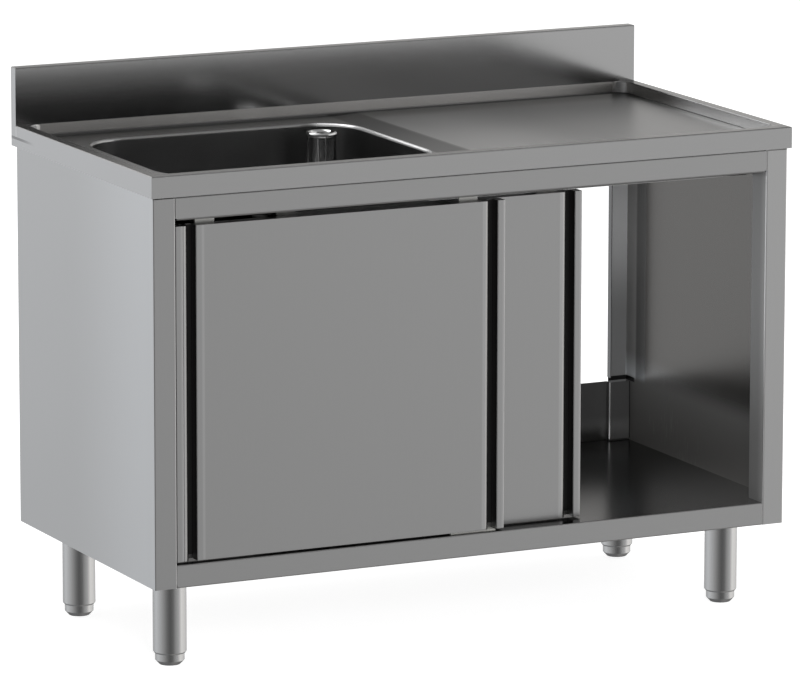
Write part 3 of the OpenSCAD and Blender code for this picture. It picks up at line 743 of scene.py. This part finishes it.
@dataclass(frozen=True)
class GripRolls:
    """Rolled left edges of the doors' grip grooves, one strip a groove, in metres.

    The roll takes all of the strip's front but the flat, and the end gap is what the strip is
    shorter than the door's skin at each end.
    """

    width: float = 0.0104
    depth: float = 0.0196
    flat: float = 0.0003
    end_gap: float = 0.0003
    segments: int = 10
    smooth_below: float = math.radians(40)

    def build(self, finish: bpy.types.Material) -> None:
        """Models one strip and copies it to the other grooves.

        Args:
            finish: the doors' material.
        """
        first = self.strip(GROOVES[0])
        first.data.materials.append(finish)
        pieces = [first] + [self.copy(first, groove) for groove in GROOVES[1:]]
        for piece, groove in zip(pieces, GROOVES):
            piece.name = f"{groove.body}_grip_roll_{groove.side}"
            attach(piece, groove.body)
            LOG.info("%s modelled", piece.name)

    def strip(self, groove: Groove) -> bpy.types.Object:
        """Models the strip of one groove.

        Args:
            groove: the groove.

        Returns:
            The strip.
        """
        left, front = groove.right - GRIP_WIDTH, groove.floor - GRIP_DEPTH
        height = groove.head - groove.foot - 2 * self.end_gap
        middle_z = (groove.head + groove.foot) / 2
        bpy.ops.object.select_all(action="DESELECT")
        bpy.ops.mesh.primitive_cube_add(
            size=1.0,
            location=(left + self.width / 2, front + self.depth / 2, middle_z),
            scale=(self.width, self.depth, height),
        )
        piece = bpy.context.active_object
        bpy.ops.object.transform_apply(location=True, scale=True)
        bpy.ops.object.mode_set(mode="EDIT")
        bpy.ops.mesh.select_mode(type="EDGE")
        mesh = bmesh.from_edit_mesh(piece.data)
        for edge in mesh.edges:
            first, last = (vertex.co for vertex in edge.verts)
            middle = (first + last) / 2
            in_groove = middle.x > left + self.width * 0.9
            in_front = middle.y < front + self.depth * 0.1
            edge.select_set(in_groove and in_front and abs(first.z - last.z) > height / 2)
        bmesh.update_edit_mesh(piece.data)
        bpy.ops.mesh.bevel(offset=self.width - self.flat, segments=self.segments, profile=0.5)
        bpy.ops.mesh.select_all(action="SELECT")
        bpy.ops.mesh.normals_make_consistent(inside=False)
        bpy.ops.object.mode_set(mode="OBJECT")
        bpy.ops.object.shade_smooth_by_angle(angle=self.smooth_below)
        return piece

    def copy(self, first: bpy.types.Object, groove: Groove) -> bpy.types.Object:
        """Copies the first groove's strip to another groove.

        Args:
            first: the strip that is copied.
            groove: where the copy goes.

        Returns:
            The copy, which has its own mesh.
        """
        bpy.ops.object.select_all(action="DESELECT")
        first.select_set(True)
        bpy.context.view_layer.objects.active = first
        bpy.ops.object.duplicate()
        piece = bpy.context.active_object
        bpy.ops.transform.translate(
            value=(groove.right - GROOVES[0].right, groove.floor - GROOVES[0].floor, 0.0)
        )
        bpy.ops.object.transform_apply(location=True)
        return piece


@dataclass(frozen=True)
class SoftBox:
    """A rectangular studio lamp aimed at a point, in metres and watts."""

    name: str
    place: Point
    aim: Point
    width: float
    height: float
    power: float

    def build(self) -> None:
        """Makes the lamp, which isn't seen in the gloss of the metal."""
        data = bpy.data.lights.new(self.name, "AREA")
        data.shape = "RECTANGLE"
        data.size = self.width
        data.size_y = self.height
        data.energy = self.power
        lamp = bpy.data.objects.new(self.name, data)
        lamp.visible_glossy = False
        bpy.context.scene.collection.objects.link(lamp)
        lamp.location = self.place
        lamp.rotation_mode = "QUATERNION"
        lamp.rotation_quaternion = (Vector(self.aim) - Vector(self.place)).to_track_quat("-Z", "Y")
        LOG.info("%s placed", self.name)


@dataclass(frozen=True)
class Card:
    """A soft white card of the studio, seen only in the gloss of the metal.

    It lies in the direction "toward" and fades out at "spread" degrees from there.
    """

    toward: Point
    spread: float
    light: Colour

    def light_on(self, graph: Graph, direction: Wire) -> Wire:
        """Works out how much of a direction the card fills.

        Args:
            graph: the world's graph.
            direction: the direction that is looked in.

        Returns:
            1 at the card's middle, falling softly to 0 at its edge.
        """
        aim = tuple(Vector(self.toward).normalized())
        facing = graph.node(
            "ShaderNodeVectorMath", {"operation": "DOT_PRODUCT"}, {0: direction, 1: aim}, "Value"
        )
        return facing.step(math.cos(math.radians(self.spread)), 1.0)


@dataclass
class Studio:
    """Pale floor, soft lamps, the world's light and the camera, in metres and degrees.

    The low and high lights are what the metal mirrors below and above the horizon, as stops
    round the compass: 0 and 1 are straight behind the cabinet, a quarter is toward +X, a half
    is straight before it and three quarters is toward -X. The horizon, ceiling and ground are
    heights of the direction looked in, from -1 straight down to 1 straight up, over which one
    light turns into the next. The ground levels are the low light's strengths at the ground's
    two ends.
    """

    camera_place: Point = (-4.7151, -9.7187, 2.6029)
    camera_turn: Point = (78.87, -0.09, -25.86)
    camera_lens: float = 286.5
    camera_shift: Pair = (-0.001, -0.00875)
    floor_half: float = 30.0
    floor_colour: Colour = grey(0.8)
    floor_white: float = 0.82
    room_light: float = 0.45
    lamps: tuple[SoftBox, ...] = (
        SoftBox("lamp_over", (0.0, -0.3, 4.2), (0.0, 0.0, 0.6), 3.0, 2.5, 70.0),
        SoftBox("lamp_fill", (-1.2, -4.5, 1.7), (0.4, 0.2, 0.5), 2.0, 1.6, 60.0),
    )
    low_light: Stops = (
        (0.0, grey(0.75)),
        (0.1, grey(0.75)),
        (0.15, grey(0.95)),
        (0.24, grey(1.5, -0.02)),
        (0.29, grey(1.6, -0.02)),
        (0.325, grey(1.85, -0.02)),
        (0.355, grey(1.3, -0.01)),
        (0.39, grey(0.86)),
        (0.425, grey(0.78)),
        (0.445, grey(0.7)),
        (0.5, grey(0.3)),
        (0.56, grey(0.2)),
        (0.62, grey(0.37)),
        (0.68, grey(0.65)),
        (0.74, grey(0.92, 0.01)),
        (0.85, grey(1.3, 0.02)),
        (0.92, grey(1.0, 0.025)),
        (1.0, grey(0.75)),
    )
    high_light: Stops = (
        (0.0, grey(0.4, -0.01)),
        (0.06, grey(0.36, -0.01)),
        (0.08, grey(0.62, -0.02)),
        (0.14, grey(0.9, -0.02)),
        (0.36, grey(1.0)),
        (0.4, grey(1.0)),
        (0.416, grey(0.5, -0.01)),
        (0.426, grey(0.08, -0.03)),
        (0.6, grey(0.08)),
        (0.8, grey(0.4)),
        (0.93, grey(0.9)),
        (1.0, grey(0.4, -0.01)),
    )
    ceiling_light: Colour = grey(0.34)
    horizon: Span = (-0.12, 0.12)
    ceiling: Span = (0.45, 0.85)
    ground: Span = (-0.45, -0.05)
    ground_levels: Pair = (0.3, 1.35)
    cards: tuple[Card, ...] = (Card((-0.34, 0.55, 0.76), 36.0, grey(3.2)),)

    def gloss(self, graph: Graph) -> Wire:
        """Works out the light that the metal mirrors, by the direction that a ray leaves in.

        Args:
            graph: the world's graph.

        Returns:
            The light's colour.
        """
        direction = graph.node("ShaderNodeTexCoord", {}, {}, "Generated")
        east, north, up = (
            graph.node("ShaderNodeSeparateXYZ", {}, {"Vector": direction}, axis) for axis in "XYZ"
        )
        turn = graph.node("ShaderNodeMath", {"operation": "ARCTAN2"}, {0: east, 1: north})
        heading = graph.node("ShaderNodeMath", {"operation": "FRACT"}, {0: turn / (2.0 * math.pi) + 1.0})
        low = graph.node("ShaderNodeValToRGB", {"stops": self.low_light}, {"Fac": heading})
        high = graph.node("ShaderNodeValToRGB", {"stops": self.high_light}, {"Fac": heading})
        rise = up.step(*self.horizon)
        top = up.step(*self.ceiling)
        fall = graph.node(
            "ShaderNodeMapRange",
            {},
            {
                "Value": up,
                "From Min": self.ground[0],
                "From Max": self.ground[1],
                "To Min": self.ground_levels[0],
                "To Max": self.ground_levels[1],
            },
        )
        low = graph.scale(low, fall)
        light = graph.mix(top, graph.mix(rise, low, high), self.ceiling_light)
        for card in self.cards:
            light = graph.mix(card.light_on(graph, direction), light, card.light)
        return light

    def set_world(self) -> None:
        """Lights the room: white behind the object, and for gloss the studio's cards and walls."""
        world = bpy.data.worlds.new("studio")
        bpy.context.scene.world = world
        world.use_nodes = True
        graph = Graph(world.node_tree)
        ray = graph.node("ShaderNodeLightPath", {}, {}, "Is Camera Ray")
        glossy = graph.node("ShaderNodeLightPath", {}, {}, "Is Glossy Ray")
        clear = graph.node("ShaderNodeLightPath", {}, {}, "Is Transmission Ray")
        seen = graph.mix(ray.highest(clear), grey(self.room_light), grey(1.0))
        shown = graph.mix(glossy, seen, self.gloss(graph))
        light = graph.node("ShaderNodeBackground", {}, {"Color": shown, "Strength": 1.0})
        graph.node("ShaderNodeOutputWorld", {}, {"Surface": light})

    def add_floor(self) -> None:
        """Lays the pale floor, which glows white to the camera and keeps the object's shadow."""
        bpy.ops.object.select_all(action="DESELECT")
        bpy.ops.mesh.primitive_plane_add(size=2 * self.floor_half, location=(0.0, 0.0, 0.0))
        floor = bpy.context.active_object
        floor.name = "studio_floor"
        floor.visible_glossy = False
        material, graph = new_material("floor_paper")
        ray = graph.node("ShaderNodeLightPath", {}, {}, "Is Camera Ray")
        clear = graph.node("ShaderNodeLightPath", {}, {}, "Is Transmission Ray")
        glow = graph.mix(ray.highest(clear), grey(0.0), grey(self.floor_white))
        graph.surface(
            {
                "Base Color": (*self.floor_colour, 1.0),
                "Roughness": 0.9,
                "Specular IOR Level": 0.0,
                "Emission Color": glow,
                "Emission Strength": 1.0,
            }
        )
        floor.data.materials.append(material)

    def add_camera(self) -> None:
        """Sets the camera at the photograph's place."""
        data = bpy.data.cameras.new("view")
        data.lens = self.camera_lens
        data.sensor_width = 36.0
        data.shift_x, data.shift_y = self.camera_shift
        data.clip_end = 100.0
        camera = bpy.data.objects.new("view", data)
        bpy.context.scene.collection.objects.link(camera)
        camera.location = self.camera_place
        camera.rotation_euler = tuple(math.radians(turn) for turn in self.camera_turn)
        bpy.context.scene.camera = camera

    def build(self) -> None:
        """Builds the whole studio."""
        bpy.context.scene.view_settings.view_transform = "Standard"
        self.set_world()
        self.add_floor()
        self.add_camera()
        for lamp in self.lamps:
            lamp.build()


def main() -> None:
    """Dresses the cabinet, models its fine pieces and sets up the studio."""
    logging.basicConfig(level=logging.INFO, format="%(message)s")
    made = Finishes().dress(frame["nodes"])
    Standpipe().build(made["steel_bright"])
    GripRolls().build(made["steel_door"])
    Studio().build()


if __name__ == "__main__":
    main()
